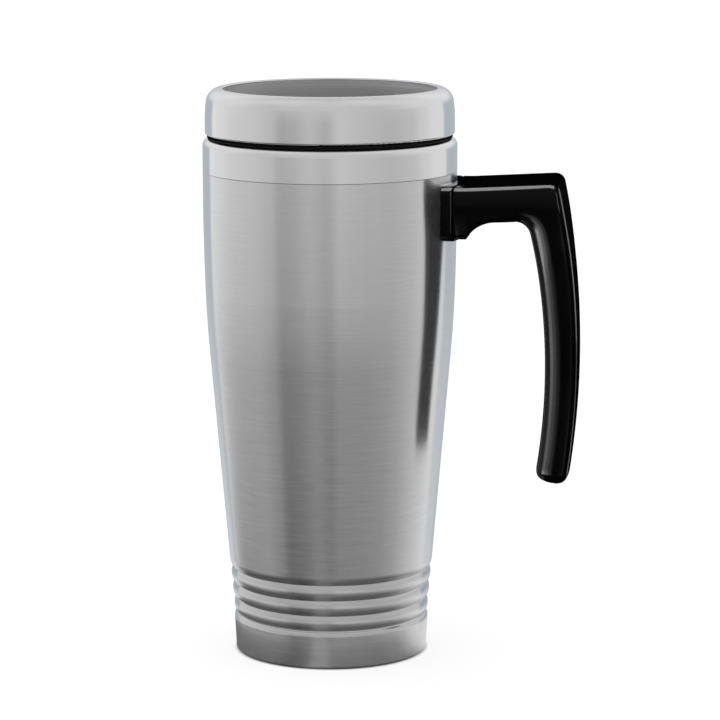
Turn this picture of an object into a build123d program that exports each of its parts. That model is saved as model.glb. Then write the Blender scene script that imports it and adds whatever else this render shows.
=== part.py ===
"""Insulated travel mug: a double-walled steel cup with a black plastic strap handle and a press-in lid.

Frame: the origin is the centre of the foot on the table, +Z is up along the cup's axis and the handle
points along +X. All sizes are in millimetres. Every piece is written to parts/ as its own STEP file.
"""

from build123d import *
from math import cos, radians, sin, tan
import os

os.makedirs("parts", exist_ok=True)

# ---------------------------------------------------------------- driving dimensions
total_height = 185.0  # table to the top of the lid
sheet = 0.5  # thickness of every steel sheet
gap = 0.05  # joint clearance between pieces that are pressed, glued or screwed together

# outer shell: straight above the shoulder, then two arcs into a straight taper
body_radius = 41.15
straight_z = 154.0
upper_arc = (970.0, 2.06)  # radius, and the angle from the vertical that it ends at
lower_arc = (390.0, 5.0)
shell_top = 158.3

# pressed ribs and foot
crease_bottom = 12.45  # lowest of the creases between the ribs
crease_pitch = 5.15
crease_count = 4
crease_depth = 0.9
crease_fillet = 0.45
crease_run = 2.6  # height over which the plain wall curves into the topmost crease
foot_shoulder = 1.6  # height over which the foot curves into the lowest crease
foot_z = 0.3  # the steel stands this far above the table, on the rubber pad
foot_corner = 0.7
foot_radius = 31.3  # of the steel foot's sharp edge, before it is rounded
foot_taper = 3.0  # the foot leans in less than the wall above the ribs
foot_opening = 27.0  # radius of the hole in the shell's turned-in foot

# polished collar round the mouth
collar_bottom = 158.4
collar_top = 168.9
collar_shoulder = 2.4

# liner, parallel to the outer shell
mouth_radius = 37.4
liner_floor = 9.5
liner_corner = 8.0
foam_gap = 0.2

# base
plate_radius = 28.4
base_pad_top = foot_z + sheet
base_pad_edge = 0.3
base_pad_grooves = (18.0, 9.0)  # radii of the grooves moulded into its underside, the widest first
groove_width = 1.2
groove_depth = 0.4

# lid
lid_bottom = 170.25  # lowest edge of the steel cover
lid_radius = 40.35
lid_waist_z = 174.5  # the side starts leaning in above this
lid_shoulder = (39.9, 181.0)
lid_crown = (35.4, total_height)
lid_lip_z = 184.6  # the well's wall is straight below this
lid_corner = 0.6
lid_hem = 38.9  # inner radius of the edge folded under the plastic
well_radius = 34.55
well_floor = 175.6  # top of the steel rim round the lid's floor
well_corner = 0.8
well_window = 31.5  # radius inside which the plastic floor shows
floor_top = 175.05
floor_bottom = 172.8
floor_radius = 37.5
flange_radius = 39.6
flange_under = 170.8
flange_over = 172.6
plug_radius = 36.6
plug_wall = 1.8
plug_bottom = 152.0
plug_lead = 1.0
gasket_radius = 39.7
gasket_bottom = 168.95
gasket_top = 170.2
gasket_round = 0.6
gasket_step_radius = 38.75  # the part of it that goes up inside the cover's hem
seal_z = 157.7
seal_height = 3.4
seal_depth = 1.2
seal_radius = 37.12

# sipping hole, its slider and the slider's track
sip_width = 16.0
sip_length = 8.0
sip_y = -24.0
vent_radius = 1.2
vent_y = 25.0
slider_half_width = 11.0
slider_neck_half_width = 9.2
slider_reach = 30.6  # radius of its curved front edge
slider_back_y = -3.0
slider_bottom = 175.35
slider_flange_top = 176.5
slider_top = 178.5
thumb_ridge_y = -10.0
thumb_ridge_top = 180.6
seal_pad_bottom = 175.15
seal_pad_top = 176.0
track_half_width = 17.0
track_front_y = -21.0
track_back_y = 17.0
track_wall = 4.0
track_ledge = 176.75  # underside of the lips that hold the slider down
track_top = 178.2
track_screw_x = 14.2
track_screw_ys = (-15.0, 11.0)
track_screw_radius = 1.1
track_screw_head = 2.0
track_screw_bottom = 173.4

# handle, seen from the side: (distance from the cup's axis, height)
arm_half_width = 17.2
arm_start = 41.0
arm_top_at_mug = 154.85
arm_corner = (74.7, 156.6)
arm_corner_round = 3.2
arm_root = (45.3, 138.0)  # where the cove under the arm starts, beside the cup
arm_cove_end = (54.8, 143.7)
grip_outer_middle = (80.8, 105.0)  # outermost point
grip_tip_outer = (77.5, 57.6)
grip_tip_inner = (67.35, 59.2)
grip_inner_middle = (70.45, 95.0)
grip_inner_top = (64.75, 143.95)
grip_cove = 5.0
tip_round = 3.4
# half-width of the grip against height, seen from the front
grip_shape = ((17.2, 158.0), (17.2, 149.0), (13.7, 131.0), (11.9, 105.0), (10.9, 75.0), (10.4, 55.0))
handle_round = 1.8
# pad between the cup and the handle, bent round the cup
pad_inner = 41.2
pad_outer = 44.7
pad_half_width = 17.1
pad_bottom = 137.5
pad_top = 155.2
pad_corner = 2.0
pad_recess = 0.3  # clearance round the edge of the bracket's plate

# handle bracket and its screws
bracket_inner = pad_inner
bracket_outer = 42.4
bracket_half_width = 13.0
bracket_bottom = 141.0
bracket_top = 152.5
tongue_z = 149.5
tongue_thickness = 2.0
tongue_half_width = 11.0
tongue_end = 61.5
screw_x = 56.7
screw_y = 7.5
screw_radius = 2.0
screw_head_radius = 3.3
screw_head_height = 2.1
screw_top = 152.5
screw_socket_radius = 1.25
screw_socket_depth = 1.2
plug_underside = 143.8  # level with the arm's underside round the screws
plug_thickness = 1.2


# ---------------------------------------------------------------- shared helpers
def wall_points(inset):
    """The body wall's side view, inset from the outside: where each stretch of it ends."""
    x = body_radius
    z = straight_z
    heading = 0.0
    places = [(x - inset, z)]
    for radius, angle in (upper_arc, lower_arc):
        x -= radius * (cos(radians(heading)) - cos(radians(angle)))
        z -= radius * (sin(radians(angle)) - sin(radians(heading)))
        heading = angle
        places.append((x - inset * cos(radians(heading)), z + inset * sin(radians(heading))))
    return places


def taper_radius(z, inset=0.0):
    """Radius of the straight taper at height z."""
    r, low_z = wall_points(inset)[2]
    return r - (low_z - z) * tan(radians(lower_arc[1]))


def downwards(angle):
    """Direction that leads down along a wall which leans in by this angle from the vertical."""
    return (-sin(radians(angle)), -cos(radians(angle)))


def upwards(angle):
    """Direction that leads up along the same wall."""
    return (sin(radians(angle)), cos(radians(angle)))


def nearest(shape, point):
    """The vertex of a flat line drawing that lies at this point."""
    return shape.vertices().sort_by(lambda v: (v.X - point[0]) ** 2 + (v.Y - point[1]) ** 2)[0]


def write(part, name):
    """Labels a finished piece and writes its STEP file."""
    part.label = name
    export_step(part, f"parts/{name}.step")


# ---------------------------------------------------------------- body: steel
creases = [crease_bottom + crease_pitch * i for i in reversed(range(crease_count))]
taper = lower_arc[1]
joggle = sheet + gap

with BuildPart() as outer_shell:
    with BuildSketch(Plane.XZ):
        with BuildLine() as wall:
            top, middle, low = wall_points(0)
            Polyline(
                (body_radius - joggle, shell_top + 4.0),
                (body_radius - joggle, shell_top),
                (body_radius - 0.15, shell_top),
                (body_radius, shell_top - 0.15),
                top,
            )
            TangentArc(top, middle, tangent=(0, -1))
            TangentArc(middle, low, tangent=downwards(upper_arc[1]))
            start = (taper_radius(creases[0] + crease_run), creases[0] + crease_run)
            Line(low, start)
            valleys = [(taper_radius(z) - crease_depth, z) for z in creases]
            TangentArc(start, valleys[0], tangent=downwards(taper))
            for upper, lower in zip(valleys, valleys[1:]):
                crown_z = (upper[1] + lower[1]) / 2
                ThreePointArc(upper, (taper_radius(crown_z), crown_z), lower)
            foot_height = creases[-1] - foot_shoulder - foot_z
            end = (foot_radius + foot_height * tan(radians(foot_taper)), foot_z + foot_height)
            TangentArc(end, valleys[-1], tangent=upwards(foot_taper))
            foot_edge = (foot_radius, foot_z)
            Polyline(end, foot_edge, (foot_opening, foot_z))
            for corner in valleys:
                fillet(nearest(wall, corner), crease_fillet)
            fillet(nearest(wall, foot_edge), foot_corner)
            offset(amount=sheet, side=Side.RIGHT)
        make_face()
    revolve(axis=Axis.Z)
write(outer_shell.part, "outer_shell")

liner_inset = body_radius - mouth_radius - sheet
liner_radius = mouth_radius + sheet

with BuildPart() as rim_collar:
    with BuildSketch(Plane.XZ):
        with BuildLine() as band:
            shoulder = (body_radius, collar_top)
            Polyline((body_radius, collar_bottom), shoulder, (liner_radius + gap, collar_top))
            fillet(nearest(band, shoulder), collar_shoulder)
            offset(amount=sheet, side=Side.LEFT)
        make_face()
    revolve(axis=Axis.Z)
write(rim_collar.part, "rim_collar")

with BuildPart() as inner_liner:
    with BuildSketch(Plane.XZ):
        with BuildLine() as wall:
            top, middle, low = wall_points(liner_inset)
            floor_edge = (taper_radius(liner_floor, liner_inset), liner_floor)
            Line((liner_radius, collar_top), top)
            TangentArc(top, middle, tangent=(0, -1))
            TangentArc(middle, low, tangent=downwards(upper_arc[1]))
            Polyline(low, floor_edge, (0, liner_floor))
            fillet(nearest(wall, floor_edge), liner_corner)
            offset(amount=sheet, side=Side.RIGHT)
        make_face()
    revolve(axis=Axis.Z)
write(inner_liner.part, "inner_liner")

plate_bottom = foot_z + sheet + gap

with BuildPart() as base_plate:
    with BuildSketch(Plane.XY.offset(plate_bottom)):
        Circle(plate_radius)
    extrude(amount=sheet)
write(base_plate.part, "base_plate")

with BuildPart() as base_pad:
    with BuildSketch():
        Circle(foot_opening - 2 * gap)
    extrude(amount=base_pad_top)
    fillet(base_pad.edges().group_by(Axis.Z)[0], base_pad_edge)
    with BuildSketch():
        for radius in base_pad_grooves:
            Circle(radius)
            Circle(radius - groove_width, mode=Mode.SUBTRACT)
    extrude(amount=groove_depth, mode=Mode.SUBTRACT)
write(base_pad.part, "base_pad")

# ---------------------------------------------------------------- body: insulation
foam_floor = plate_bottom + sheet + foam_gap
foam_top = shell_top - 0.8
rib_top = creases[0] + crease_run + 1.0

with BuildPart() as foam_insulation:
    with BuildSketch(Plane.XZ):
        with BuildLine():
            inset = sheet + foam_gap
            top, middle, low = wall_points(inset)
            Line((body_radius - inset - joggle, foam_top), (body_radius - inset - joggle, straight_z + 2.0))
            Line((body_radius - inset - joggle, straight_z + 2.0), top)
            TangentArc(top, middle, tangent=(0, -1))
            TangentArc(middle, low, tangent=downwards(upper_arc[1]))
            Polyline(
                low,
                (taper_radius(rib_top, inset), rib_top),
                (taper_radius(rib_top, inset + crease_depth), rib_top - 1.0),
                (taper_radius(foam_floor + 2.0, inset + crease_depth), foam_floor + 2.0),
                (plate_radius, foam_floor),
                (0, foam_floor),
                (0, foam_top),
                (body_radius - inset - joggle, foam_top),
            )
        make_face()
        with BuildLine() as bowl:
            inset = liner_inset - foam_gap
            top, middle, low = wall_points(inset)
            bowl_floor = liner_floor - foam_gap
            floor_edge = (taper_radius(bowl_floor, inset), bowl_floor)
            Line((body_radius - inset, shell_top + 5.0), top)
            TangentArc(top, middle, tangent=(0, -1))
            TangentArc(middle, low, tangent=downwards(upper_arc[1]))
            Polyline(
                low,
                floor_edge,
                (0, bowl_floor),
                (0, shell_top + 5.0),
                (body_radius - inset, shell_top + 5.0),
            )
            fillet(nearest(bowl, floor_edge), liner_corner)
        make_face(mode=Mode.SUBTRACT)
    revolve(axis=Axis.Z)
write(foam_insulation.part, "foam_insulation")


# ---------------------------------------------------------------- body: handle
def curved_plate(inner, outer, half_width, bottom, top, corner):
    """A plate that is bent round the cup: a rounded rectangle seen along X, between two radii."""
    with BuildPart() as plate:
        with BuildSketch(Plane.XY.offset(bottom)):
            Circle(outer)
            Circle(inner, mode=Mode.SUBTRACT)
        extrude(amount=top - bottom)
        with BuildSketch(Plane.YZ):
            with Locations((0, (bottom + top) / 2)):
                RectangleRounded(2 * half_width, top - bottom, corner)
        extrude(amount=outer + 1.0, mode=Mode.INTERSECT)
    return plate.part


screw_places = [(screw_x, y) for y in (-screw_y, screw_y)]
bent_plate = curved_plate(
    bracket_inner,
    bracket_outer,
    bracket_half_width,
    bracket_bottom,
    bracket_top,
    2.0,
)
bent_pad = curved_plate(pad_inner, pad_outer, pad_half_width, pad_bottom, pad_top, pad_corner)
pad_hollow = curved_plate(
    pad_inner - 1.0,
    bracket_outer + gap,
    bracket_half_width + pad_recess,
    bracket_bottom - pad_recess,
    bracket_top + pad_recess,
    2.0,
)

tongue_width = 2 * tongue_half_width

with BuildPart() as handle_bracket:
    add(bent_plate)
    with BuildSketch(Plane.XY.offset(tongue_z - tongue_thickness / 2)) as tongue:
        with Locations((tongue_end / 2, 0)):
            Rectangle(tongue_end, tongue_width)
        fillet(tongue.vertices().group_by(Axis.X)[-1], 3.0)
        Circle(bracket_inner, mode=Mode.SUBTRACT)
        with Locations(*screw_places):
            Circle(screw_radius + gap, mode=Mode.SUBTRACT)
    extrude(amount=tongue_thickness)
write(handle_bracket.part, "handle_bracket")

with BuildPart() as handle_pad:
    add(bent_pad)
    add(pad_hollow, mode=Mode.SUBTRACT)
    with BuildSketch(Plane.YZ):
        with Locations((0, tongue_z)):
            Rectangle(tongue_width + 2 * gap, tongue_thickness + 2 * gap)
    extrude(amount=pad_outer + 1.0, mode=Mode.SUBTRACT)
write(handle_pad.part, "handle_pad")

with BuildPart() as handle:
    with BuildSketch(Plane.XZ):
        with BuildLine() as side:
            Line((arm_start, arm_top_at_mug), arm_corner)
            ThreePointArc(arm_corner, grip_outer_middle, grip_tip_outer)
            Line(grip_tip_outer, grip_tip_inner)
            ThreePointArc(grip_tip_inner, grip_inner_middle, grip_inner_top)
            Line(grip_inner_top, arm_cove_end)
            TangentArc(arm_cove_end, arm_root, tangent=(-1, 0))
            Polyline(arm_root, (arm_start, arm_root[1]), (arm_start, arm_top_at_mug))
            fillet(nearest(side, arm_corner), arm_corner_round)
            fillet(nearest(side, grip_tip_outer), tip_round)
            fillet(nearest(side, grip_tip_inner), tip_round)
            fillet(nearest(side, grip_inner_top), grip_cove)
        make_face()
    extrude(amount=arm_half_width, both=True)
    with BuildSketch(Plane.YZ):
        with BuildLine():
            Spline(*grip_shape, tangents=[(0, -1), (0, -1)])
            Polyline(grip_shape[-1], (-grip_shape[-1][0], grip_shape[-1][1]))
            mirrored = [(-y, z) for y, z in grip_shape]
            Spline(*mirrored, tangents=[(0, -1), (0, -1)])
            Polyline(mirrored[0], grip_shape[0])
        make_face()
    extrude(amount=100.0, mode=Mode.INTERSECT)
    fillet(handle.edges().filter_by(lambda edge: edge.center().X > arm_root[0] - 0.1), handle_round)
    with BuildSketch(Plane.XY.offset(arm_root[1])):
        Circle(pad_outer + gap)
    extrude(amount=arm_corner[1] - arm_root[1], mode=Mode.SUBTRACT)
    with BuildSketch(Plane.XY.offset(tongue_z - tongue_thickness / 2 - gap)) as socket:
        with Locations(((tongue_end + gap) / 2, 0)):
            Rectangle(tongue_end + gap, tongue_width + 2 * gap)
        fillet(socket.vertices().group_by(Axis.X)[-1], 3.0)
    extrude(amount=tongue_thickness + 2 * gap, mode=Mode.SUBTRACT)
    with BuildSketch(Plane.XY.offset(plug_underside - 1.0)):
        with Locations(*screw_places):
            Circle(screw_head_radius + gap)
    extrude(amount=1.0 + plug_thickness + gap + screw_head_height, mode=Mode.SUBTRACT)
    with BuildSketch(Plane.XY.offset(plug_underside)):
        with Locations(*screw_places):
            Circle(screw_radius + gap)
    extrude(amount=screw_top + gap - plug_underside, mode=Mode.SUBTRACT)
write(handle.part, "handle")

head_bottom = plug_underside + plug_thickness + gap

with BuildPart() as handle_screws:
    with BuildSketch(Plane.XY.offset(head_bottom)):
        with Locations(*screw_places):
            Circle(screw_head_radius)
    extrude(amount=screw_head_height - gap)
    with BuildSketch(Plane.XY.offset(head_bottom)):
        with Locations(*screw_places):
            Circle(screw_radius)
    extrude(amount=screw_top - head_bottom)
    with BuildSketch(Plane.XY.offset(head_bottom)):
        with Locations(*screw_places):
            RegularPolygon(screw_socket_radius, 6)
    extrude(amount=screw_socket_depth, mode=Mode.SUBTRACT)
write(handle_screws.part, "handle_screws")

with BuildPart() as handle_screw_plugs:
    with BuildSketch(Plane.XY.offset(plug_underside)):
        with Locations(*screw_places):
            Circle(screw_head_radius)
    extrude(amount=plug_thickness)
write(handle_screw_plugs.part, "handle_screw_plugs")

# ---------------------------------------------------------------- lid
with BuildPart() as lid_cover:
    with BuildSketch(Plane.XZ):
        with BuildLine() as skin:
            skirt_edge = (lid_radius, lid_bottom)
            waist = (lid_radius, lid_waist_z)
            well_edge = (well_radius, well_floor)
            Polyline((lid_hem, lid_bottom), skirt_edge, waist)
            side_arc = TangentArc(waist, lid_shoulder, tangent=(0, 1))
            crown_arc = TangentArc(lid_shoulder, lid_crown, tangent=side_arc % 1)
            TangentArc(lid_crown, (well_radius, lid_lip_z), tangent=crown_arc % 1)
            Polyline((well_radius, lid_lip_z), well_edge, (well_window, well_floor))
            fillet(nearest(skin, skirt_edge), lid_corner)
            fillet(nearest(skin, well_edge), well_corner)
            offset(amount=sheet, side=Side.LEFT)
        make_face()
    revolve(axis=Axis.Z)
write(lid_cover.part, "lid_cover")

groove_bottom = seal_z - seal_height / 2
groove_top = seal_z + seal_height / 2
groove_radius = plug_radius - seal_depth
track_screw_places = [(x, y) for x in (-track_screw_x, track_screw_x) for y in track_screw_ys]

with BuildPart() as lid_body:
    with BuildSketch(Plane.XZ):
        with BuildLine():
            Polyline(
                (0, floor_bottom),
                (plug_radius - plug_wall, floor_bottom),
                (plug_radius - plug_wall, plug_bottom),
                (plug_radius - plug_lead, plug_bottom),
                (plug_radius, plug_bottom + 2 * plug_lead),
                (plug_radius, groove_bottom),
                (groove_radius, groove_bottom),
                (groove_radius, groove_top),
                (plug_radius, groove_top),
                (plug_radius, flange_under),
                (flange_radius, flange_under),
                (flange_radius, flange_over),
                (floor_radius, flange_over),
                (floor_radius, floor_top),
                (0, floor_top),
                close=True,
            )
        make_face()
    revolve(axis=Axis.Z)
    with BuildSketch(Plane.XY.offset(floor_bottom)):
        with Locations((0, sip_y)):
            SlotOverall(sip_width, sip_length)
        with Locations((0, vent_y)):
            Circle(vent_radius)
    extrude(amount=floor_top - floor_bottom, mode=Mode.SUBTRACT)
    with BuildSketch(Plane.XY.offset(track_screw_bottom - gap)):
        with Locations(*track_screw_places):
            Circle(track_screw_radius + gap)
    extrude(amount=floor_top - track_screw_bottom + gap, mode=Mode.SUBTRACT)
write(lid_body.part, "lid_body")

with BuildPart() as rim_gasket:
    with BuildSketch(Plane.XZ) as section:
        with BuildLine():
            Polyline(
                (plug_radius + gap, gasket_bottom),
                (gasket_radius, gasket_bottom),
                (gasket_radius, gasket_top),
                (gasket_step_radius, gasket_top),
                (gasket_step_radius, flange_under - gap),
                (plug_radius + gap, flange_under - gap),
                close=True,
            )
        make_face()
        fillet(section.vertices().group_by(Axis.X)[-1], gasket_round)
    revolve(axis=Axis.Z)
write(rim_gasket.part, "rim_gasket")

with BuildPart() as plug_seal:
    with BuildSketch(Plane.XZ):
        with BuildLine():
            inner = groove_radius + gap
            low_z = groove_bottom + 2 * gap
            high_z = groove_top - 2 * gap
            lip = 0.8
            Polyline(
                (inner, low_z),
                (plug_radius - 0.1, low_z),
                (seal_radius, low_z + lip),
                (plug_radius, low_z + 2 * lip - 0.2),
                (plug_radius, high_z - 2 * lip + 0.2),
                (seal_radius, high_z - lip),
                (plug_radius - 0.1, high_z),
                (inner, high_z),
                close=True,
            )
        make_face()
    revolve(axis=Axis.Z)
write(plug_seal.part, "plug_seal")

with BuildPart() as slider_track:
    track_length = track_back_y - track_front_y
    with BuildSketch(Plane.XY.offset(floor_top + gap)):
        with Locations((0, (track_back_y + track_front_y) / 2)):
            RectangleRounded(2 * track_half_width, track_length, 4.0)
    extrude(amount=track_top - floor_top - gap)
    chamfer(slider_track.edges().group_by(Axis.Z)[-1], 0.5)
    channel_y = (track_back_y - track_wall + track_front_y - 5.0) / 2
    channel_length = track_back_y - track_wall - track_front_y + 5.0
    with BuildSketch(Plane.XY.offset(floor_top)):
        with Locations((0, channel_y)):
            Rectangle(2 * slider_half_width + 0.8, channel_length)
    extrude(amount=track_ledge - floor_top, mode=Mode.SUBTRACT)
    with BuildSketch(Plane.XY.offset(track_ledge)):
        with Locations((0, channel_y)):
            Rectangle(2 * slider_neck_half_width + 0.8, channel_length)
    extrude(amount=track_top - track_ledge, mode=Mode.SUBTRACT)
    with Locations(*[(x, y, track_top) for x, y in track_screw_places]):
        CounterBoreHole(track_screw_radius + gap, track_screw_head + gap, 1.2)
write(slider_track.part, "slider_track")

with BuildPart() as track_screws:
    head_seat = track_top - 1.2
    with BuildSketch(Plane.XY.offset(head_seat)):
        with Locations(*track_screw_places):
            Circle(track_screw_head)
            RegularPolygon(0.8, 6, mode=Mode.SUBTRACT)
    extrude(amount=1.0)
    with BuildSketch(Plane.XY.offset(track_screw_bottom)):
        with Locations(*track_screw_places):
            Circle(track_screw_radius)
    extrude(amount=head_seat + 0.3 - track_screw_bottom)
write(track_screws.part, "track_screws")

# ---------------------------------------------------------------- slider
seal_recess = (19.0, 9.6)
slider_length = slider_back_y + slider_reach

with BuildPart() as slider:
    with BuildSketch(Plane.XY.offset(slider_bottom)):
        with Locations((0, slider_back_y - slider_length / 2)):
            Rectangle(2 * slider_half_width, slider_length)
        Circle(slider_reach, mode=Mode.INTERSECT)
    extrude(amount=slider_flange_top - slider_bottom)
    with BuildSketch(Plane.XY.offset(slider_flange_top)):
        with Locations((0, slider_back_y - slider_length / 2)):
            Rectangle(2 * slider_neck_half_width, slider_length)
        Circle(slider_reach, mode=Mode.INTERSECT)
    extrude(amount=slider_top - slider_flange_top)
    chamfer(slider.edges().group_by(Axis.Z)[-1], 0.4)
    for step in range(3):
        with BuildSketch(Plane.XY.offset(slider_top)):
            with Locations((0, thumb_ridge_y - 3.0 * (step - 1))):
                SlotOverall(14.0 - 2.0 * abs(step - 1), 1.8)
        extrude(amount=thumb_ridge_top - slider_top - 0.7 * abs(step - 1))
    with BuildSketch(Plane.XY.offset(slider_bottom)):
        with Locations((0, sip_y)):
            RectangleRounded(*seal_recess, 3.0)
    extrude(amount=seal_pad_top + gap - slider_bottom, mode=Mode.SUBTRACT)
write(slider.part, "slider")

with BuildPart() as slider_seal:
    with BuildSketch(Plane.XY.offset(seal_pad_bottom)):
        with Locations((0, sip_y)):
            RectangleRounded(seal_recess[0] - 2 * gap, seal_recess[1] - 2 * gap, 3.0 - gap)
    extrude(amount=seal_pad_top - seal_pad_bottom)
write(slider_seal.part, "slider_seal")
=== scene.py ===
"""Looks for the insulated travel mug: brushed and polished steel, black plastic, rubber and silicone."""

import math

import bmesh
import bpy
from mathutils import Matrix, Vector


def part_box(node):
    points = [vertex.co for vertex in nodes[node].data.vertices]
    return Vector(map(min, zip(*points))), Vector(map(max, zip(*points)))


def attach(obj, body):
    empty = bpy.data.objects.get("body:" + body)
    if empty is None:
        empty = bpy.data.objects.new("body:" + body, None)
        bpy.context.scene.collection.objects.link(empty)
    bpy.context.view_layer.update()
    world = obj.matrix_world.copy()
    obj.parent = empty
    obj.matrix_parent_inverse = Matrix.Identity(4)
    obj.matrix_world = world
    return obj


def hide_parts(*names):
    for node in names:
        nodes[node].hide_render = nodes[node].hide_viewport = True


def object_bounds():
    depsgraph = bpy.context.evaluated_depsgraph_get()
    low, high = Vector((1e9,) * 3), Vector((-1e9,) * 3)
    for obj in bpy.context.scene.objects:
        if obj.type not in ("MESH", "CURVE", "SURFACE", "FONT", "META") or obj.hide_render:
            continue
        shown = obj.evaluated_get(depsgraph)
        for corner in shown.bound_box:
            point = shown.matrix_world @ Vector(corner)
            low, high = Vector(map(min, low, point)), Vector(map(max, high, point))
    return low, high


MM = 0.001

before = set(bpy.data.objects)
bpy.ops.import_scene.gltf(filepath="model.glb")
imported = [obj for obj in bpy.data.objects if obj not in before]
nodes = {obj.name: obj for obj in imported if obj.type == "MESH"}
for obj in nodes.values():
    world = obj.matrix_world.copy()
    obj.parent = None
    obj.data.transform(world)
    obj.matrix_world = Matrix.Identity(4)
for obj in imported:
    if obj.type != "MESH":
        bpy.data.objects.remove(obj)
cad_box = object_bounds()
scene = bpy.context.scene


# ---------------------------------------------------------------- node helpers
class Shader:
    """A small builder for one material's node tree, around one Principled shader."""

    def __init__(self, name):
        self.material = bpy.data.materials.new(name)
        self.material.use_nodes = True
        self.tree = self.material.node_tree
        self.nodes = self.tree.nodes
        self.surface = self.nodes["Principled BSDF"]

    def node(self, kind, **settings):
        made = self.nodes.new("ShaderNode" + kind)
        for key, value in settings.items():
            setattr(made, key, value)
        return made

    def link(self, source, target):
        self.tree.links.new(source, target)

    def set(self, **values):
        """Sets sockets of the Principled shader, by their names with _ for spaces."""
        for key, value in values.items():
            self.surface.inputs[key.replace("_", " ")].default_value = value

    def position(self):
        """The point in the object's own frame, in metres."""
        return self.node("TexCoord").outputs["Object"]

    def radius_and_height(self):
        """The point's distance from the object's z axis, and its height, in metres."""
        split = self.node("SeparateXYZ")
        self.link(self.position(), split.inputs[0])
        x, y, z = split.outputs
        squares = self.math("ADD", self.math("MULTIPLY", x, x), self.math("MULTIPLY", y, y))
        return self.math("SQRT", squares), z

    def scaled(self, vector, scale):
        mapping = self.node("Mapping")
        mapping.inputs["Scale"].default_value = scale
        self.link(vector, mapping.inputs["Vector"])
        return mapping.outputs["Vector"]

    def noise(self, vector, scale=1.0, detail=3.0, roughness=0.5):
        made = self.node("TexNoise")
        made.inputs["Scale"].default_value = scale
        made.inputs["Detail"].default_value = detail
        made.inputs["Roughness"].default_value = roughness
        self.link(vector, made.inputs["Vector"])
        return made.outputs["Fac"]

    def math(self, operation, a, b=None, clamp=False):
        made = self.node("Math", operation=operation, use_clamp=clamp)
        for socket, value in zip(made.inputs, (a, b)):
            if value is None:
                continue
            if isinstance(value, (int, float)):
                socket.default_value = value
            else:
                self.link(value, socket)
        return made.outputs[0]

    def remap(self, value, low, high, to_low, to_high):
        made = self.node("MapRange")
        for key, number in zip(("From Min", "From Max", "To Min", "To Max"), (low, high, to_low, to_high)):
            made.inputs[key].default_value = number
        self.link(value, made.inputs["Value"])
        return made.outputs["Result"]

    def blend(self, factor, a, b):
        """A colour between a and b."""
        made = self.node("Mix", data_type="RGBA")
        for index, value in ((6, a), (7, b)):
            if isinstance(value, (tuple, list)):
                made.inputs[index].default_value = (*value[:3], 1.0)
            else:
                self.link(value, made.inputs[index])
        if isinstance(factor, (int, float)):
            made.inputs[0].default_value = factor
        else:
            self.link(factor, made.inputs[0])
        return made.outputs[2]

    def bump(self, height, distance, strength=1.0, normal=None):
        made = self.node("Bump")
        made.inputs["Distance"].default_value = distance
        made.inputs["Strength"].default_value = strength
        self.link(height, made.inputs["Height"])
        if normal is not None:
            self.link(normal, made.inputs["Normal"])
        return made.outputs["Normal"]

    def to(self, socket, source):
        self.link(source, self.surface.inputs[socket])


# ---------------------------------------------------------------- materials
def brush_lines(s, across, along):
    """Fine lines round the cup's axis: noise squeezed along z and stretched round the wall."""
    return s.noise(s.scaled(s.position(), (along, along, across)), detail=4.0, roughness=0.65)


def brushed_steel(name, colour, roughness, anisotropy, painted_shade_down=1.0, painted_shade_up=1.0, haze=0.0):
    """Steel brushed on a lathe: lines round the axis, and highlights stretched along it.

    painted_shade_down and painted_shade_up are painted shade: they darken the colour of what faces down and
    up, because this studio alone leaves the ribs too light, and haze greys the darks.
    """
    s = Shader(name)
    fine = brush_lines(s, 8000.0, 110.0)
    broad = brush_lines(s, 2600.0, 55.0)
    lines = s.math("ADD", s.math("MULTIPLY", fine, 0.8), s.math("MULTIPLY", broad, 0.2))
    worn = s.noise(s.scaled(s.position(), (1.0, 1.0, 0.25)), scale=60.0, detail=2.0)
    dark = tuple(c * 0.90 for c in colour)
    light = tuple(min(1.0, c * 1.06) for c in colour)
    split = s.node("SeparateXYZ")
    s.link(s.node("NewGeometry").outputs["Normal"], split.inputs[0])
    # painted shade: the colour is darkened on faces turned down and on faces turned up, by the factors given
    painted_shade_down_mask = s.remap(split.outputs["Z"], -0.17, -0.42, 0.0, 1.0)
    painted_shade_up_mask = s.remap(split.outputs["Z"], 0.04, 0.22, 0.0, 1.0)
    plain = s.blend(s.remap(lines, 0.28, 0.72, 0.0, 1.0), dark, light)
    plain = s.blend(painted_shade_up_mask, plain, tuple(c * painted_shade_up for c in colour))
    s.to("Base Color", s.blend(painted_shade_down_mask, plain, tuple(c * painted_shade_down for c in colour)))
    s.to("Roughness", s.math("ADD", s.remap(lines, 0.3, 0.7, roughness - 0.05, roughness + 0.05),
                             s.remap(worn, 0.3, 0.7, -0.015, 0.015)))
    s.to("Normal", s.bump(lines, 0.02 * MM, 0.15))
    tangent = s.node("Tangent", direction_type="RADIAL", axis="Z")
    s.link(tangent.outputs["Tangent"], s.surface.inputs["Tangent"])
    s.set(Metallic=1.0 - haze, Anisotropic=anisotropy, Anisotropic_Rotation=0.25)
    return s.material


def polished_steel(name, colour, roughness, lean=0.0):
    """Buffed steel with a faint haze, no grain; lean tips its reflections upwards, as a slight dish would."""
    s = Shader(name)
    haze = s.noise(s.position(), scale=60.0, detail=3.0)
    s.to("Base Color", s.blend(haze, tuple(c * 0.97 for c in colour), colour))
    s.to("Roughness", s.remap(haze, 0.3, 0.7, roughness - 0.02, roughness + 0.02))
    tipped = s.node("VectorMath", operation="ADD")
    s.link(s.node("NewGeometry").outputs["Normal"], tipped.inputs[0])
    tipped.inputs[1].default_value = (0.0, 0.0, lean)
    straight = s.node("VectorMath", operation="NORMALIZE")
    s.link(tipped.outputs[0], straight.inputs[0])
    grain = s.noise(s.position(), scale=900.0, detail=2.0)
    s.to("Normal", s.bump(grain, 0.002 * MM, 0.3, straight.outputs[0]))
    s.set(Metallic=1.0)
    return s.material


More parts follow.
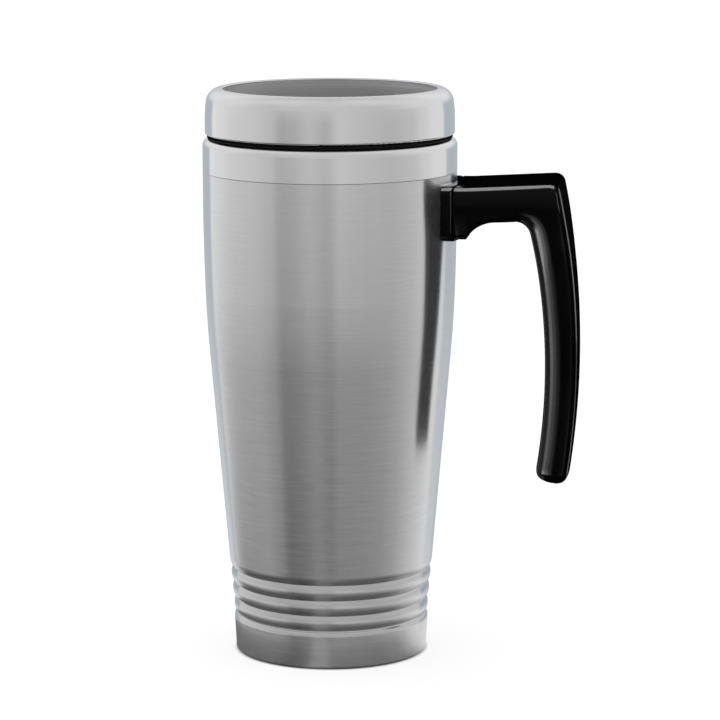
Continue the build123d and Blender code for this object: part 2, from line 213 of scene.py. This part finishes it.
def lid_steel(name, colour, roughness, well_radius, well_top):
    """Polished outside and over the crown, brushed round the axis inside the well."""
    s = Shader(name)
    radius, height = s.radius_and_height()
    inside = s.remap(radius, well_radius + 0.3 * MM, well_radius + 0.1 * MM, 0.0, 1.0)
    below = s.remap(height, well_top, well_top - 0.6 * MM, 0.0, 1.0)
    well = s.math("MULTIPLY", inside, below, clamp=True)
    lines = brush_lines(s, 5200.0, 18.0)
    haze = s.noise(s.position(), scale=60.0, detail=3.0)
    polished = s.blend(haze, tuple(c * 0.97 for c in colour), colour)
    brushed = s.blend(s.remap(lines, 0.3, 0.7, 0.0, 1.0), tuple(c * 0.80 for c in colour),
                      tuple(min(1.0, c * 1.12) for c in colour))
    s.to("Base Color", s.blend(well, polished, brushed))
    s.to("Roughness", s.math("ADD", s.remap(haze, 0.3, 0.7, roughness - 0.02, roughness + 0.02),
                             s.math("MULTIPLY", well, 0.28)))
    s.to("Normal", s.bump(s.math("MULTIPLY", lines, well), 0.03 * MM, 0.5))
    s.set(Metallic=1.0)
    return s.material


def black_plastic(name, roughness, grain_scale, grain_depth, colour=(0.006, 0.006, 0.007)):
    """Moulded black plastic: grain_depth is the height of its surface texture, in millimetres."""
    s = Shader(name)
    grain = s.noise(s.position(), scale=grain_scale, detail=3.0)
    slow = s.noise(s.position(), scale=45.0, detail=2.0)
    s.to("Base Color", s.blend(slow, colour, tuple(c * 1.6 for c in colour)))
    s.to("Roughness", s.remap(slow, 0.3, 0.7, roughness * 0.85, roughness * 1.15))
    s.to("Normal", s.bump(grain, grain_depth * MM, 0.4))
    return s.material


def rubber(name, colour, roughness):
    s = Shader(name)
    grain = s.noise(s.position(), scale=2600.0, detail=3.0)
    dust = s.noise(s.position(), scale=90.0, detail=4.0)
    dusty = tuple(c * 1.5 + 0.002 for c in colour)
    s.to("Base Color", s.blend(s.remap(dust, 0.4, 0.75, 0.0, 1.0), colour, dusty))
    s.to("Roughness", s.remap(grain, 0.3, 0.7, roughness - 0.06, roughness + 0.06))
    s.to("Normal", s.bump(grain, 0.03 * MM, 0.5))
    s.set(Specular_IOR_Level=0.35)
    return s.material


def silicone(name, colour):
    s = Shader(name)
    slow = s.noise(s.position(), scale=120.0, detail=2.0)
    s.to("Base Color", s.blend(slow, colour, tuple(c * 0.85 for c in colour)))
    s.to("Roughness", s.remap(slow, 0.3, 0.7, 0.42, 0.55))
    s.to("Normal", s.bump(s.noise(s.position(), scale=1800.0), 0.01 * MM, 0.4))
    s.set(Subsurface_Weight=0.25, Subsurface_Scale=0.002)
    return s.material


def foam(name):
    s = Shader(name)
    cells = s.node("TexVoronoi")
    cells.inputs["Scale"].default_value = 1400.0
    s.link(s.position(), cells.inputs["Vector"])
    s.to("Base Color", s.blend(cells.outputs["Distance"], (0.80, 0.74, 0.55), (0.88, 0.84, 0.70)))
    s.to("Normal", s.bump(cells.outputs["Distance"], 0.2 * MM, 0.6))
    s.to("Roughness", s.remap(cells.outputs["Distance"], 0.0, 1.0, 0.8, 0.95))
    return s.material


STEEL = (0.80, 0.80, 0.81)
POLISHED = (0.84, 0.84, 0.85)
lid_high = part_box("lid_cover")[1]
WELL_RADIUS = 34.55 * MM
GLOSS_BLACK = (0.0005, 0.0005, 0.0006)
handle_black = black_plastic("handle_gloss_black", 0.16, 900.0, 0.002, GLOSS_BLACK)

looks = {
    # the shell's ribs get painted shade on their downward and upward faces
    "outer_shell": brushed_steel("shell_brushed", STEEL, 0.20, 0.80, painted_shade_down=0.62, painted_shade_up=0.76, haze=0.03),
    "rim_collar": polished_steel("collar_polished", POLISHED, 0.12, 0.10),
    "inner_liner": brushed_steel("liner_brushed", (0.70, 0.70, 0.70), 0.36, 0.7),
    "foam_insulation": foam("foam_rigid"),
    "base_plate": brushed_steel("base_brushed", (0.66, 0.66, 0.67), 0.38, 0.5),
    "base_pad": rubber("pad_rubber_black", (0.012, 0.012, 0.013), 0.72),
    "handle_bracket": brushed_steel("bracket_steel_plain", (0.55, 0.55, 0.56), 0.42, 0.3),
    "handle_screws": polished_steel("screw_zinc", (0.62, 0.62, 0.62), 0.3),
    "handle_screw_plugs": black_plastic("plug_gloss_black", 0.2, 900.0, 0.002, (0.0008, 0.0008, 0.0009)),
    "lid_cover": lid_steel("lid_polished", POLISHED, 0.12, WELL_RADIUS, lid_high.z - 0.5 * MM),
    "lid_body": black_plastic("lid_satin_black", 0.42, 2400.0, 0.02),
    "rim_gasket": rubber("gasket_black", (0.002, 0.002, 0.002), 0.6),
    "plug_seal": silicone("seal_grey", (0.42, 0.43, 0.44)),
    "slider_track": black_plastic("track_satin_black", 0.38, 2400.0, 0.015),
    "track_screws": polished_steel("track_screw_steel_look", (0.66, 0.66, 0.66), 0.28),
    "slider": black_plastic("slider_black", 0.3, 1800.0, 0.008, (0.010, 0.010, 0.011)),
    "slider_seal": silicone("slider_silicone_grey", (0.36, 0.37, 0.38)),
}
for name, material in looks.items():
    nodes[name].material_slots[0].material = material


# ---------------------------------------------------------------- handle and its pad, in millimetres
# side view, as (distance from the cup's axis, height)
ARM_CORNER = (74.7, 156.6)
ARM_TOP_AT_MUG = (41.0, 154.85)
ARM_ROOT = (45.3, 138.0)
ARM_COVE_END = (54.8, 143.7)
GRIP_INNER_TOP = (64.75, 143.95)
GRIP_INNER = (GRIP_INNER_TOP, (70.45, 95.0), (67.35, 59.2))
GRIP_OUTER = (ARM_CORNER, (80.8, 105.0), (77.5, 57.6))
CORNER_ROUND = 3.2  # of the outer corner over the grip
COVE_ROUND = 5.0  # of the corner over the fingers
TIP_ROUND = (3.4, 2.4)  # seen from the side, and from the front
# half-width against height
WIDTHS = ((55.0, 10.4), (75.0, 10.9), (105.0, 11.9), (131.0, 13.7), (149.0, 17.2), (158.0, 17.2))
OUTER_EDGE = (1.8, 1.8)  # how far the rounding of an edge reaches along the side, and across it
ARM_EDGE = (1.9, 1.9)  # the same for the edges of the inner face, along the arm
GRIP_EDGE = (6.0, 3.4)  # and along the grip, where the fingers lie
SIDE_CROWN = 0.22  # how far the middle of a side stands proud
FACE_CROWN = 0.30  # how far the middle of the inner and the outer face stands proud
ROOT_TAPER = 8.0  # scale of the narrowing where the handle's end is rounded against the pad
PAD = {"inner": 41.2, "outer": 44.7, "half_width": 17.1, "low": 137.5, "high": 155.2, "corner": 2.0}
PAD_EDGE = 1.0
PAD_GAP = 0.05
# recesses for the screw plugs, in the arm's underside
PLUG_X, PLUG_Y = 56.7, 7.5
PLUG_RADIUS = 3.35
PLUG_TOP = 145.05


def circle_through(a, b, c):
    """Centre and radius of the circle through three points."""
    a, b, c = (Vector(p) for p in (a, b, c))
    first, second = b - a, c - a
    across = 2.0 * (first.x * second.y - first.y * second.x)
    centre = a + Vector((
        second.y * first.length_squared - first.y * second.length_squared,
        first.x * second.length_squared - second.x * first.length_squared,
    )) / across
    return centre, (a - centre).length


def spaced(low, high, count):
    """Evenly spaced numbers from low to high, both included."""
    return [low + (high - low) * i / (count - 1) for i in range(count)]


def smooth(value, low, high):
    """0 at low, 1 at high, and eased between them."""
    t = min(1.0, max(0.0, (value - low) / (high - low)))
    return t * t * (3.0 - 2.0 * t)


def half_width(z):
    """The handle's half-width at a height, on a smooth curve through WIDTHS."""
    if z >= WIDTHS[-1][0]:
        return WIDTHS[-1][1]
    slopes = [(b[1] - a[1]) / (b[0] - a[0]) for a, b in zip(WIDTHS, WIDTHS[1:])]
    tangents = [0.0] + [(p + q) / 2 if p * q > 0 else 0.0 for p, q in zip(slopes, slopes[1:])] + [0.0]
    for i, ((z0, w0), (z1, w1)) in enumerate(zip(WIDTHS, WIDTHS[1:])):
        if z <= z1:
            break
    span = z1 - z0
    t = max(0.0, (z - z0) / span)
    return ((2 * t**3 - 3 * t**2 + 1) * w0 + (t**3 - 2 * t**2 + t) * span * tangents[i]
            + (3 * t**2 - 2 * t**3) * w1 + (t**3 - t**2) * span * tangents[i + 1])


def rounded_section(length, half, inner_edge, inset=(0.0, 0.0)):
    """A closed section as (along, across) points: 0 is the handle's inner face, length its outer face."""
    def corner(edge):
        angles = spaced(0, math.pi / 2, 10)
        return [(edge[0] * (1 - math.cos(a)), edge[1] * (1 - math.sin(a))) for a in angles]

    side = []
    along, across = inner_edge[0], inner_edge[1]
    for v in spaced(0.0, 1.0, 6)[:-1]:
        side.append((FACE_CROWN * (v * v - 1), v * (half - across)))
    side += [(u, half - v) for u, v in corner(inner_edge)]
    for t in spaced(0.0, 1.0, 8)[1:-1]:
        side.append((along + t * (length - along - OUTER_EDGE[0]), half))
    side += [(length - u, half - v) for u, v in reversed(corner(OUTER_EDGE))]
    for v in spaced(1.0, 0.0, 6)[1:]:
        side.append((length + FACE_CROWN * (1 - v * v), v * (half - OUTER_EDGE[1])))
    middle, reach = length / 2, length / 2
    crowned = []
    for u, v in side:
        bulge = SIDE_CROWN * (1 - ((u - middle) / reach) ** 2) * (v / half) ** 2
        crowned.append((middle + (u - middle) * (1 - inset[0] / reach), (v + bulge) * (1 - inset[1] / half)))
    return crowned + [(u, -v) for u, v in reversed(crowned[1:-1])]


def handle_stations():
    """Pairs of points on the handle's inner and outer side, from the cup to the tip."""
    inner_centre, inner_radius = circle_through(*GRIP_INNER)
    outer_centre, outer_radius = circle_through(*GRIP_OUTER)
    rise = (ARM_CORNER[1] - ARM_TOP_AT_MUG[1]) / (ARM_CORNER[0] - ARM_TOP_AT_MUG[0])

    def top(x):
        return ARM_CORNER[1] + rise * (x - ARM_CORNER[0])

    # cove beside the cup
    dx, dz = ARM_COVE_END[0] - ARM_ROOT[0], ARM_COVE_END[1] - ARM_ROOT[1]
    cove_radius = (dx * dx + dz * dz) / (2 * dz)
    turn = math.asin(dx / cove_radius)
    stations = []
    for angle in spaced(turn, 0.0, 12):
        x = ARM_COVE_END[0] - cove_radius * math.sin(angle)
        z = ARM_COVE_END[1] - cove_radius * (1 - math.cos(angle))
        stations.append(((x, z), (x, top(x))))
    # underside of the arm, up to the cove over the fingers
    under_rise = (GRIP_INNER_TOP[1] - ARM_COVE_END[1]) / (GRIP_INNER_TOP[0] - ARM_COVE_END[0])
    centre = Vector((0.0, GRIP_INNER_TOP[1] - COVE_ROUND))
    centre.x = inner_centre.x + math.sqrt((inner_radius - COVE_ROUND) ** 2 - (centre.y - inner_centre.y) ** 2)
    for x in spaced(ARM_COVE_END[0], centre.x, 8)[1:]:
        stations.append(((x, ARM_COVE_END[1] + under_rise * (x - ARM_COVE_END[0])), (x, top(x))))
    # outer corner: along the top, round the corner and down the outside, seen from the cove's centre
    round_z = top(ARM_CORNER[0] - CORNER_ROUND) - CORNER_ROUND
    round_x = outer_centre.x + math.sqrt((outer_radius - CORNER_ROUND) ** 2 - (round_z - outer_centre.y) ** 2)
    outside = [(x, top(x)) for x in spaced(centre.x, round_x, 12)[1:-1]]
    end_angle = math.atan2(round_z - outer_centre.y, round_x - outer_centre.x)
    for angle in spaced(math.pi / 2, end_angle, 13):
        outside.append((round_x + CORNER_ROUND * math.cos(angle), round_z + CORNER_ROUND * math.sin(angle)))
    touch = math.asin((centre.y - inner_centre.y) / (inner_radius - COVE_ROUND))
    lowest = centre.y + (ARM_CORNER[0] - centre.x) * math.tan(touch)
    for z in spaced(outside[-1][1], lowest, 10)[1:]:
        outside.append((outer_centre.x + math.sqrt(outer_radius**2 - (z - outer_centre.y) ** 2), z))
    for x, z in outside:
        angle = max(touch, math.atan2(z - centre.y, x - centre.x))
        inner = (centre.x + COVE_ROUND * math.cos(angle), centre.y + COVE_ROUND * math.sin(angle))
        stations.append((inner, (x, z)))
    # grip: square to its inner side
    last = math.asin((GRIP_INNER[2][1] - inner_centre.y) / inner_radius) + TIP_ROUND[0] / inner_radius
    for angle in spaced(touch, last, 46)[1:]:
        way = Vector((math.cos(angle), math.sin(angle)))
        back = inner_centre - outer_centre
        reach = -way.dot(back) + math.sqrt(way.dot(back) ** 2 - back.length_squared + outer_radius**2)
        stations.append((tuple(inner_centre + way * inner_radius), tuple(inner_centre + way * reach)))
    return stations


def ring_points(inner, outer, inset=(0.0, 0.0), drop=0.0):
    """One ring of the handle, in the plane of its inner and outer point; drop moves it on along the grip."""
    inner, outer = Vector(inner), Vector(outer)
    across = (outer - inner).normalized()
    onward = Vector((across.y, -across.x))
    grip = smooth(inner.x, 55.0, 66.5) if inner.y > 132.0 else 1.0
    edge = tuple(a + (g - a) * grip for a, g in zip(ARM_EDGE, GRIP_EDGE))
    middle = half_width((inner.y + outer.y) / 2)
    points = []
    for u, v in rounded_section((outer - inner).length, middle, edge, inset):
        place = inner + across * u + onward * drop
        points.append((place.x, v * half_width(place.y) / middle, place.y))
    return points


def shrunk(ring, factor):
    """The ring pulled in towards its own middle."""
    middle = sum((Vector(p) for p in ring), Vector()) / len(ring)
    return [tuple(middle + (Vector(p) - middle) * factor) for p in ring]


def bent(ring, radius):
    """The ring laid on an upright cylinder round the cup."""
    return [(math.sqrt(radius * radius - y * y), y, z) for _, y, z in ring]


def loft(name, rings):
    """A closed mesh through the rings, which are in millimetres and all have the same number of points."""
    made = bmesh.new()
    loops = [[made.verts.new([c * MM for c in point]) for point in ring] for ring in rings]
    for first, second in zip(loops, loops[1:]):
        for i in range(len(first)):
            j = (i + 1) % len(first)
            made.faces.new((first[i], first[j], second[j], second[i]))
    for ends in (loops[0], loops[-1]):
        made.faces.new(ends)
    bmesh.ops.recalc_face_normals(made, faces=made.faces)
    mesh = bpy.data.meshes.new(name)
    made.to_mesh(mesh)
    made.free()
    return mesh


def finished(name, mesh, material):
    """A smooth-shaded piece on the mug's body, with its material and finish."""
    mesh.polygons.foreach_set("use_smooth", [True] * len(mesh.polygons))
    mesh.set_sharp_from_angle(angle=math.radians(38))
    mesh.materials.clear()
    mesh.materials.append(material)
    piece = bpy.data.objects.new(name, mesh)
    scene.collection.objects.link(piece)
    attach(piece, "mug_body")
    return piece


def drilled(mesh, holes, radius, top):
    """The mesh with round holes cut up into it as far as the height top; all lengths in millimetres."""
    drills = bmesh.new()
    depth = 10.0
    for x, y in holes:
        place = Matrix.Translation((x * MM, y * MM, (top - depth / 2) * MM))
        bmesh.ops.create_cone(drills, cap_ends=True, segments=48, radius1=radius * MM, radius2=radius * MM,
                              depth=depth * MM, matrix=place)
    drill_mesh = bpy.data.meshes.new("drills")
    drills.to_mesh(drill_mesh)
    drills.free()
    body = bpy.data.objects.new("undrilled", mesh)
    tool = bpy.data.objects.new("drills", drill_mesh)
    for thing in (body, tool):
        scene.collection.objects.link(thing)
    cut = body.modifiers.new("holes", "BOOLEAN")
    cut.object = tool
    cut.solver = "EXACT"
    result = bpy.data.meshes.new_from_object(body.evaluated_get(bpy.context.evaluated_depsgraph_get()))
    for thing in (body, tool):
        bpy.data.objects.remove(thing)
    for unused in (mesh, drill_mesh):
        bpy.data.meshes.remove(unused)
    return result


CAP = (0.75, 0.5, 0.25)  # the rings that close an end, as parts of the last full ring


def make_handle():
    stations = handle_stations()
    root = ring_points(*stations[0])
    against_pad = PAD["outer"] + PAD_GAP
    edge = [bent(shrunk(root, 1 - inset / ROOT_TAPER), against_pad + out)
            for inset, out in ((0.30, 0.0), (0.10, 0.08), (0.0, 0.30))]
    closing = [bent(shrunk(root, part), against_pad) for part in reversed(CAP)]
    rings = closing + edge + [ring_points(*station) for station in stations]
    inner, outer = stations[-1]
    for angle in spaced(0.0, math.pi / 2, 9)[1:]:
        inset = tuple(r * (1 - math.cos(angle)) for r in TIP_ROUND)
        rings.append(ring_points(inner, outer, inset, TIP_ROUND[0] * math.sin(angle)))
    rings += [shrunk(rings[-1], part) for part in CAP]
    mesh = drilled(loft("handle_strap", rings), [(PLUG_X, -PLUG_Y), (PLUG_X, PLUG_Y)], PLUG_RADIUS, PLUG_TOP)
    handle = finished("handle_strap", mesh, handle_black)
    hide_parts("handle")
    return handle


def make_pad():
    """The pad between cup and handle: a rounded plate bent round the cup, with soft outer edges."""
    def outline(inset):
        radius = max(PAD["corner"] - inset, 0.4)
        y0, z0, z1 = PAD["half_width"] - inset, PAD["low"] + inset, PAD["high"] - inset
        points = []
        for cy, cz, start in ((y0 - radius, z1 - radius, 0), (-y0 + radius, z1 - radius, 90),
                              (-y0 + radius, z0 + radius, 180), (y0 - radius, z0 + radius, 270)):
            for angle in spaced(start, start + 90, 8):
                a = math.radians(angle)
                points.append((0.0, cy + radius * math.cos(a), cz + radius * math.sin(a)))
        full = []
        for a, b in zip(points, points[1:] + points[:1]):
            steps = 12 if (Vector(a) - Vector(b)).length > 4.0 else 1
            full += [tuple(Vector(a).lerp(Vector(b), i / steps)) for i in range(steps)]
        return full

    rings = [bent(shrunk(outline(0.0), part), PAD["inner"]) for part in reversed(CAP)]
    rings += [bent(outline(0.0), radius) for radius in spaced(PAD["inner"], PAD["outer"] - PAD_EDGE, 4)]
    for angle in spaced(0.0, math.pi / 2, 7)[1:]:
        inset = PAD_EDGE * (1 - math.cos(angle))
        rings.append(bent(outline(inset), PAD["outer"] - PAD_EDGE * (1 - math.sin(angle))))
    rings += [bent(shrunk(outline(PAD_EDGE), part), PAD["outer"]) for part in CAP]
    pad = finished("handle_root_pad", loft("handle_root_pad", rings), handle_black)
    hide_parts("handle_pad")
    return pad


handle = make_handle()
pad = make_pad()


# ---------------------------------------------------------------- camera
HANDLE_TURN = math.radians(7.2)  # the handle comes this far round towards the camera
CAMERA_REACH = 1.050
CAMERA_HEIGHT = 0.27717
AIM = Vector((0.0, 0.0, 0.0925))
SENSOR = 36.0
LENS = 163.18
SHIFT = (0.0409, 0.0142)
ROLL = -0.0029

camera = bpy.data.objects.new("camera", bpy.data.cameras.new("camera"))
scene.collection.objects.link(camera)
camera.location = (CAMERA_REACH * math.sin(HANDLE_TURN), -CAMERA_REACH * math.cos(HANDLE_TURN), CAMERA_HEIGHT)
look = (AIM - camera.location).to_track_quat("-Z", "Y")
camera.rotation_euler = (look.to_matrix() @ Matrix.Rotation(ROLL, 3, "Z")).to_euler()
camera.data.sensor_width = SENSOR
camera.data.lens = LENS
camera.data.shift_x, camera.data.shift_y = SHIFT
camera.data.clip_start = 0.05
scene.camera = camera


# ---------------------------------------------------------------- floor, world and lights
MIDDLE = Vector((0.0, 0.0, 0.5 * cad_box[1].z))
FOOT_RADIUS = 31.3 * MM
NEAR_TABLE = 56.0 * MM  # how far out the foot sees its own surroundings in the table
LID_PLASTICS = ("lid_body", "rim_gasket", "plug_seal", "slider_track", "slider", "slider_seal")
NOT_STEEL = LID_PLASTICS + ("handle_screw_plugs", "handle", "handle_pad", "base_pad", "foam_insulation")


def receivers(name, objects):
    """A collection for light linking: only these objects are lit by a light that is linked to it."""
    made = bpy.data.collections.new(name)
    for thing in objects:
        made.objects.link(thing)
    return made


def make_floor():
    """A white table top that glows white to the eye; where the mug stands its glow fades out, a painted
    contact shadow over the real one.
    """
    mesh = bpy.data.meshes.new("floor")
    size = 12.0
    corners = [(-size, -size, 0), (size, -size, 0), (size, size, 0), (-size, size, 0)]
    mesh.from_pydata(corners, [], [(0, 1, 2, 3)])
    floor = bpy.data.objects.new("floor", mesh)
    scene.collection.objects.link(floor)
    s = Shader("floor_white_painted_contact_shadow")
    s.set(Base_Color=(0.36, 0.36, 0.36, 1.0), Roughness=1.0, Specular_IOR_Level=0.0)
    radius, _ = s.radius_and_height()
    # painted contact shadow: the glow is nothing under the foot and rises to full within a millimetre round
    # it
    s.to("Emission Strength", s.remap(radius, FOOT_RADIUS - 1.0 * MM, FOOT_RADIUS + 0.9 * MM, 0.0, 0.70))
    s.set(Emission_Color=(1.0, 1.0, 1.0, 1.0))
    mesh.materials.append(s.material)
    floor.visible_glossy = False


def make_world():
    """A plain white room."""
    world = bpy.data.worlds.new("studio")
    scene.world = world
    world.use_nodes = True
    world.node_tree.nodes["Background"].inputs["Color"].default_value = (1.0, 1.0, 1.0, 1.0)


class Glow:
    """Node helpers for a surface that only shines, by the direction in which it is seen from the mug."""

    def __init__(self, name, centre):
        self.material = bpy.data.materials.new(name)
        self.material.use_nodes = True
        self.tree = self.material.node_tree
        self.tree.nodes.clear()
        away = self.node("VectorMath", operation="SUBTRACT")
        self.tree.links.new(self.node("NewGeometry").outputs["Position"], away.inputs[0])
        away.inputs[1].default_value = centre
        direction = self.node("VectorMath", operation="NORMALIZE")
        self.tree.links.new(away.outputs[0], direction.inputs[0])
        split = self.node("SeparateXYZ")
        self.tree.links.new(direction.outputs[0], split.inputs[0])
        x, y, z = split.outputs
        around = self.math("ARCTAN2", x, self.math("MULTIPLY", y, -1.0))
        degrees = self.math("MULTIPLY", around, 180.0 / math.pi)
        turned = self.math("SUBTRACT", degrees, math.degrees(HANDLE_TURN))
        # degrees: azimuth from the photographer's side, positive to the right, and elevation
        self.azimuth = self.math("WRAP", turned, 180.0, -180.0)
        self.elevation = self.math("MULTIPLY", self.math("ARCSINE", z), 180.0 / math.pi)

    def node(self, kind, **settings):
        made = self.tree.nodes.new("ShaderNode" + kind)
        for key, value in settings.items():
            setattr(made, key, value)
        return made

    def math(self, operation, *values):
        made = self.node("Math", operation=operation)
        for socket, value in zip(made.inputs, values):
            if isinstance(value, (int, float)):
                socket.default_value = value
            else:
                self.tree.links.new(value, socket)
        return made.outputs[0]

    def mixed(self, factor, a, b):
        made = self.node("Mix", data_type="RGBA")
        for index, value in ((0, factor), (6, a), (7, b)):
            self.tree.links.new(value, made.inputs[index])
        return made.outputs[2]

    def ramp(self, angle, stops):
        """Levels or colours at angles, eased between them."""
        scaled = self.node("MapRange")
        scaled.inputs["From Min"].default_value = -180.0
        scaled.inputs["From Max"].default_value = 180.0
        self.tree.links.new(angle, scaled.inputs["Value"])
        colours = self.node("ValToRGB")
        colours.color_ramp.interpolation = "EASE"
        elements = colours.color_ramp.elements
        elements.remove(elements[-1])
        for index, (place, level) in enumerate(stops):
            position = (place + 180.0) / 360.0
            element = elements[0] if index == 0 else elements.new(position)
            element.position = position
            element.color = (*level, 1.0) if isinstance(level, tuple) else (level, level, level, 1.0)
        self.tree.links.new(scaled.outputs["Result"], colours.inputs["Fac"])
        return colours.outputs["Color"]

    def shine(self, colour, thing, linked):
        """Makes the thing glow in this colour, in the reflections of the linked objects and nowhere else."""
        emission = self.node("Emission")
        self.tree.links.new(colour, emission.inputs["Color"])
        self.tree.links.new(emission.outputs[0], self.node("OutputMaterial").inputs["Surface"])
        self.material.cycles.emission_sampling = "NONE"
        thing.data.materials.append(self.material)
        thing.visible_camera = thing.visible_diffuse = thing.visible_shadow = False
        thing.visible_transmission = thing.visible_volume_scatter = False
        thing.light_linking.receiver_collection = linked


def sphere_or_disc(name, build, **settings):
    """An object made by one of bmesh's create operators, for the studio."""
    made = bmesh.new()
    build(made, **settings)
    mesh = bpy.data.meshes.new(name)
    made.to_mesh(mesh)
    made.free()
    thing = bpy.data.objects.new(name, mesh)
    scene.collection.objects.link(thing)
    return thing


def make_drum(linked):
    """The studio that the steel reflects: soft grey walls, lighter at the sides, over a dark floor.

    Its levels are set so that the steel's brightness follows the photograph from the camera's side.
    """
    drum = sphere_or_disc("studio_drum", bmesh.ops.create_icosphere, subdivisions=5, radius=4.0)
    drum.location = MIDDLE
    glow = Glow("studio_walls", MIDDLE)
    cool = (0.48, 0.52, 0.56)
    pale = (0.60, 0.63, 0.66)
    level = glow.ramp(glow.azimuth, [
        (-180.0, cool), (-140.0, cool), (-136.0, 0.86), (-120.0, 0.80), (-95.0, 0.69), (-75.0, 0.65),
        (-56.0, 0.58), (-45.0, 0.44), (-36.0, 0.46), (-18.0, 0.56), (-3.0, 0.48), (9.0, 0.64), (20.0, 0.60),
        (36.0, 0.56), (56.0, 0.52), (78.0, 0.57), (96.0, 0.70), (108.0, 0.79), (127.0, 0.80), (131.0, cool),
        (180.0, cool),
    ])
    low = glow.ramp(glow.azimuth, [
        (-180.0, pale), (-152.0, 0.92), (-138.0, 0.40), (-126.0, 0.18), (-117.0, 0.13), (-104.0, 0.18),
        (-73.0, 0.25), (-60.0, 0.20), (-45.0, 0.075), (-30.0, 0.105), (-12.0, 0.165), (2.0, 0.10),
        (10.0, 0.14), (33.0, 0.18), (54.0, 0.24), (70.0, 0.32), (90.0, 0.46), (100.0, 0.55),
        (132.0, 0.79), (150.0, 0.84), (156.0, pale), (180.0, pale),
    ])
    under = glow.ramp(glow.azimuth, [
        (-180.0, 0.06), (-90.0, 0.03), (-40.0, 0.08), (0.0, 0.22), (40.0, 0.10), (80.0, 0.05), (110.0, 0.2),
        (140.0, 0.35), (180.0, 0.10),
    ])
    over = glow.ramp(glow.azimuth, [
        (-180.0, 0.68), (-150.0, 0.84), (-112.0, 0.78), (-60.0, 0.60), (0.0, 0.62), (45.0, 0.58),
        (104.0, 0.76), (150.0, 0.84), (180.0, 0.68),
    ])
    top = glow.ramp(glow.azimuth, [(-180.0, 0.60), (-90.0, 0.72), (0.0, 0.64), (90.0, 0.72), (180.0, 0.60)])
    colour = glow.mixed(glow.ramp(glow.elevation, [(-22.0, 0.0), (-14.5, 0.68), (-7.0, 1.0)]), low, level)
    colour = glow.mixed(glow.ramp(glow.elevation, [(-41.0, 0.0), (-27.0, 1.0)]), under, colour)
    colour = glow.mixed(glow.ramp(glow.elevation, [(0.0, 0.0), (16.0, 1.0)]), colour, over)
    colour = glow.mixed(glow.ramp(glow.elevation, [(35.0, 0.0), (60.0, 1.0)]), colour, top)
    glow.shine(colour, drum, linked)


def make_near_table(linked):
    """The table close round the foot, as the foot reflects it: darker than the studio, light at the right."""
    circle = bmesh.ops.create_circle
    disc = sphere_or_disc("near_table", circle, cap_ends=True, segments=96, radius=NEAR_TABLE)
    disc.location = (0.0, 0.0, 0.2 * MM)
    glow = Glow("near_table", (0.0, 0.0, 0.0))
    glow.shine(glow.ramp(glow.azimuth, [
        (-180.0, 0.30), (-100.0, 0.15), (-43.0, 0.13), (-28.0, 0.085), (-20.0, 0.11), (-11.0, 0.25),
        (-5.0, 0.25), (2.0, 0.15), (37.0, 0.15), (56.0, 0.20), (68.0, 0.35), (76.0, 0.52), (84.0, 0.65),
        (95.0, 0.76), (180.0, 0.76),
    ]), disc, linked)


def softbox(name, linked, azimuth, elevation, distance, size, brightness):
    """A soft light from the given side; brightness is what its reflection would show in a mirror."""
    light = bpy.data.lights.new(name, "AREA")
    light.shape = "RECTANGLE"
    light.size, light.size_y = size
    light.energy = brightness * math.pi * size[0] * size[1]
    lamp = bpy.data.objects.new(name, light)
    scene.collection.objects.link(lamp)
    around, up = math.radians(azimuth), math.radians(elevation)
    away = Vector((math.sin(around) * math.cos(up), -math.cos(around) * math.cos(up), math.sin(up)))
    target = Vector((0.07, 0.0, 0.12))
    lamp.location = target + away * distance
    lamp.rotation_euler = away.to_track_quat("Z", "Y").to_euler()
    lamp.visible_camera = False
    lamp.light_linking.receiver_collection = linked
    return lamp


def table_glow(name, linked, azimuth, half_angle, brightness):
    """Light lying on the table at this azimuth from the handle, brighter nearby than further out."""
    for part, distance, length, share in (("near", 0.225, 0.15, 1.0), ("far", 0.45, 0.30, 0.42)):
        width = 2.0 * distance * math.tan(math.radians(half_angle))
        lamp = softbox(f"{name}_{part}", linked, azimuth, 0.0, distance, (width, length), brightness * share)
        lamp.location.z = 2.0 * MM
        lamp.rotation_euler = (math.pi, 0.0, math.radians(azimuth))


# azimuths are in degrees from the mug's front, positive towards the handle; distances and sizes in metres
make_floor()
make_world()
steel = receivers("steel_receivers", [thing for name, thing in nodes.items() if name not in NOT_STEEL])
make_drum(steel)
make_near_table(steel)
handle_only = receivers("handle_receivers", [handle, pad, nodes["handle_screw_plugs"]])
softbox("overhead", handle_only, -10.0, 66.0, 1.2, (1.6, 1.5), 6.0)
softbox("left_edge", handle_only, -54.0, 18.0, 0.9, (0.34, 0.5), 3.0)
table_glow("table_left", handle_only, -55.0, 8.5, 6.0)
table_glow("table_left_front", handle_only, -38.0, 8.5, 2.4)
table_glow("table_front", handle_only, -22.0, 7.0, 0.7)
table_glow("table_right", handle_only, 14.0, 8.0, 0.25)
table_glow("table_back", handle_only, 128.0, 14.0, 1.2)
softbox("front_fill", handle_only, 0.0, 14.0, 0.9, (0.4, 0.6), 0.10)
softbox("right_front", handle_only, 27.0, 4.0, 0.6, (0.20, 0.18), 1.6)
softbox("right_back", handle_only, 128.0, 6.0, 1.2, (1.0, 0.7), 1.35)
lid_only = receivers("lid_receivers", [nodes[name] for name in LID_PLASTICS])
softbox("lid_overhead", lid_only, 20.0, 60.0, 1.2, (0.8, 0.8), 1.0)

scene.view_settings.view_transform = "Standard"
scene.view_settings.look = "None"
